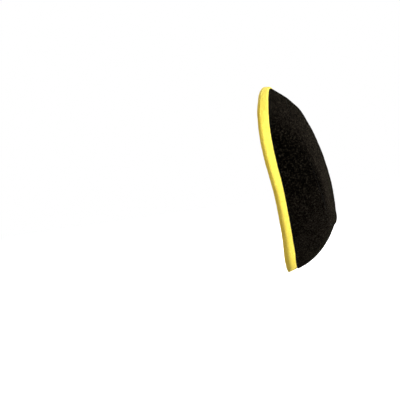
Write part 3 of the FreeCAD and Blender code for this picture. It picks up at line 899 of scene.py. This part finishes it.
# ---------------------------------------------------------------- the seams that run all round

GLUE_ROUNDING = 0.28
GLUE_RUNS = (2, 8, 2, 8)
LUMP_SIZE = 2.2

# How far a seam's glue overlaps the foam over and under its gap, and how far it is squeezed out of the gap.
RIM_SEAM_OVERLAP = 0.15
RIM_SEAM_SQUEEZE = 0.25
FACE_SEAM_OVERLAP = 0.5
INNER_SEAM_OVERLAP = 0.05
INNER_SEAM_SQUEEZE = 0.15

# The outer face seam starts inside the wall and widens inwards. The inner one stays over the rim's bond.
FACE_SEAM_INSET = 1.1
FACE_SEAM_WIDENING = 0.4
INNER_SEAM_LIFT = 1.0


def make_ring_glue(name, node, insets, levels, material, swayed, lumps):
    """A glued seam all round: a thin and lumpy layer between two insets, from a low to a high level."""
    angles = even_angles(SEAM_POINTS, lambda turn: wall_point(BAND_X, 0.0, turn))
    low, high = levels
    corners = [
        stacked(insets[0], low(insets[0], angles), 0.0), stacked(insets[0], high(insets[0], angles), 0.0),
        stacked(insets[1], high(insets[1], angles), 0.0), stacked(insets[1], low(insets[1], angles), 0.0),
    ]
    path = rounded_path(corners, [GLUE_ROUNDING + 0 * angles] * 4, GLUE_RUNS)
    piece = ring_piece(name, on_wall(path[..., 0], path[..., 1], angles), material, swayed, closed=True)
    roughen(piece, [("waves", LUMP_SIZE, lumps)])
    finish_glue(node)


def make_seam_glue():
    """The three glued seams that run right round the element."""
    def rim_low(inset, angles):
        return rim_back_level(inset, angles, -BOND)

    def rim_high(inset, angles):
        return rim_back_level(inset, angles, RIM_SEAM_OVERLAP)

    def face_low(inset, angles):
        return outer_roof(inset, angles) - FACE_SEAM_OVERLAP

    def face_high(inset, angles):
        widening = FACE_SEAM_WIDENING * inset / OUTER_WALL
        return outer_roof(inset, angles) + SEAM_GAP + FACE_SEAM_OVERLAP + widening

    def inner_low(inset, angles):
        floor = rim_back_level(inset, angles, INNER_SEAM_LIFT)
        return np.maximum(inner_roof(inset, angles), floor) - INNER_SEAM_OVERLAP

    def inner_high(inset, angles):
        return inner_low(inset, angles) + BOND

    whole = OUTER_WALL + INNER_WALL
    make_ring_glue("rim_seam_glue", "rim_seam_bond", (-RIM_SEAM_SQUEEZE, whole), (rim_low, rim_high),
                   glue, SWAY, lumps=0.35)
    make_ring_glue("face_seam_glue", "outer_face_seam_bond", (FACE_SEAM_INSET, OUTER_WALL - SKIN),
                   (face_low, face_high), glue, SWAY, lumps=0.25)
    make_ring_glue("inner_face_seam_glue", "inner_face_seam_bond",
                   (OUTER_WALL + SKIN, whole + INNER_SEAM_SQUEEZE), (inner_low, inner_high), yellow_glue, 0.0,
                   lumps=0.2)


make_outer_face_panel()
make_inner_face_panel()
make_bands()
make_rim()
make_seam_glue()


# ---------------------------------------------------------------- cage and pins

def dress(node, material):
    """Gives a CAD node a better material."""
    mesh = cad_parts[node].data
    mesh.materials.clear()
    mesh.materials.append(material)


dress("support_cage", cage_plastic)
dress("locating_pins", pin_steel)


# ---------------------------------------------------------------- stage, light and camera

FLOOR_DROP = 0.0015
FLOOR_REACH = 12.0
FLOOR_GLOW = 0.72
BACKDROP_STRENGTH = 1.0
AMBIENT_STRENGTH = 0.32

# Where the camera stands about the filter, in degrees and metres, and where it aims: how far from the
# origin to its right, up and towards it.
CAMERA_AZIMUTH = 13.0
CAMERA_ELEVATION = 0.0
CAMERA_ROLL = 8.2
CAMERA_DISTANCE = 1.556
CAMERA_AIM = (-0.1044, -0.0280, 0.0)
LENS = 100.0

# The softboxes: name, place, size, power and colour. All of them point at the middle of the filter. The
# floor cuts off whatever part of a light lies below it, so the key light's middle stands well above the
# floor. The reflector throws warm light back on the rim's bevel.
LIGHT_AIM = (0.03, 0, 0)
WHITE = (1, 1, 1)
SOFTBOXES = [
    ("key", (1.3, -1.15, 0.02), 0.4, 57.0, WHITE),
    ("rim", (1.3, 0.6, 1.1), 0.7, 22.0, WHITE),
    ("fill", (-0.8, 1.4, 0.9), 1.0, 26.0, WHITE),
    ("reflector", (-1.2, -0.9, 0.25), 0.6, 5.5, (1.0, 0.64, 0.08)),
]


def make_floor():
    """A plain pale floor, just under the filter's lowest point, which sends no glow up to the filter."""
    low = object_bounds()[0][2] - FLOOR_DROP
    mesh = bpy.data.meshes.new("floor")
    corners = [(FLOOR_REACH * x, FLOOR_REACH * y, low) for x, y in ((-1, -1), (1, -1), (1, 1), (-1, 1))]
    mesh.from_pydata(corners, [], [(0, 1, 2, 3)])
    material, tree, shader = new_material("pale_floor")
    set_inputs(tree, shader, {
        "Base Color": (0.9, 0.9, 0.9, 1),
        "Roughness": 0.9,
        "Emission Color": (*WHITE, 1),
        "Emission Strength": FLOOR_GLOW,
    })
    mesh.materials.append(material)
    floor = bpy.data.objects.new("floor", mesh)
    floor.visible_diffuse = False
    bpy.context.collection.objects.link(floor)


def make_world():
    """White behind the filter, and an even grey light all round it."""
    world = bpy.data.worlds.new("studio")
    world.use_nodes = True
    tree = world.node_tree
    tree.nodes.clear()
    backdrop = add(tree, "ShaderNodeBackground", {"Color": (*WHITE, 1), "Strength": BACKDROP_STRENGTH})
    ambient = add(tree, "ShaderNodeBackground", {"Color": (*WHITE, 1), "Strength": AMBIENT_STRENGTH})
    path = add(tree, "ShaderNodeLightPath")
    mix = add(tree, "ShaderNodeMixShader", {0: path.outputs["Is Camera Ray"], 1: ambient.outputs[0],
                                            2: backdrop.outputs[0]})
    add(tree, "ShaderNodeOutputWorld", {"Surface": mix.outputs[0]})
    bpy.context.scene.world = world


def add_softbox(name, place, size, power, colour):
    """A square area light that points at the filter."""
    light = bpy.data.lights.new(name, "AREA")
    light.color = colour
    light.size = size
    light.energy = power
    box = bpy.data.objects.new(name, light)
    box.location = place
    box.rotation_euler = (Vector(LIGHT_AIM) - Vector(place)).to_track_quat("-Z", "Y").to_euler()
    bpy.context.collection.objects.link(box)


def make_camera():
    """The camera: almost square on to the filter's side, leaning so that the filter's top tips left."""
    turn = math.radians(CAMERA_AZIMUTH)
    tilt = math.radians(CAMERA_ELEVATION)
    back = Vector((math.sin(turn) * math.cos(tilt), -math.cos(turn) * math.cos(tilt), math.sin(tilt)))
    data = bpy.data.cameras.new("camera")
    data.lens = LENS
    data.sensor_width = 36.0
    data.clip_end = 50.0
    camera = bpy.data.objects.new("camera", data)
    turned = back.to_track_quat("Z", "Y").to_matrix() @ Matrix.Rotation(math.radians(-CAMERA_ROLL), 3, "Z")
    aim = turned @ Vector(CAMERA_AIM)
    camera.matrix_world = Matrix.Translation(aim + CAMERA_DISTANCE * back) @ turned.to_4x4()
    bpy.context.collection.objects.link(camera)
    bpy.context.scene.camera = camera


make_floor()
make_world()
for softbox in SOFTBOXES:
    add_softbox(*softbox)
make_camera()
bpy.context.scene.view_settings.view_transform = "Standard"
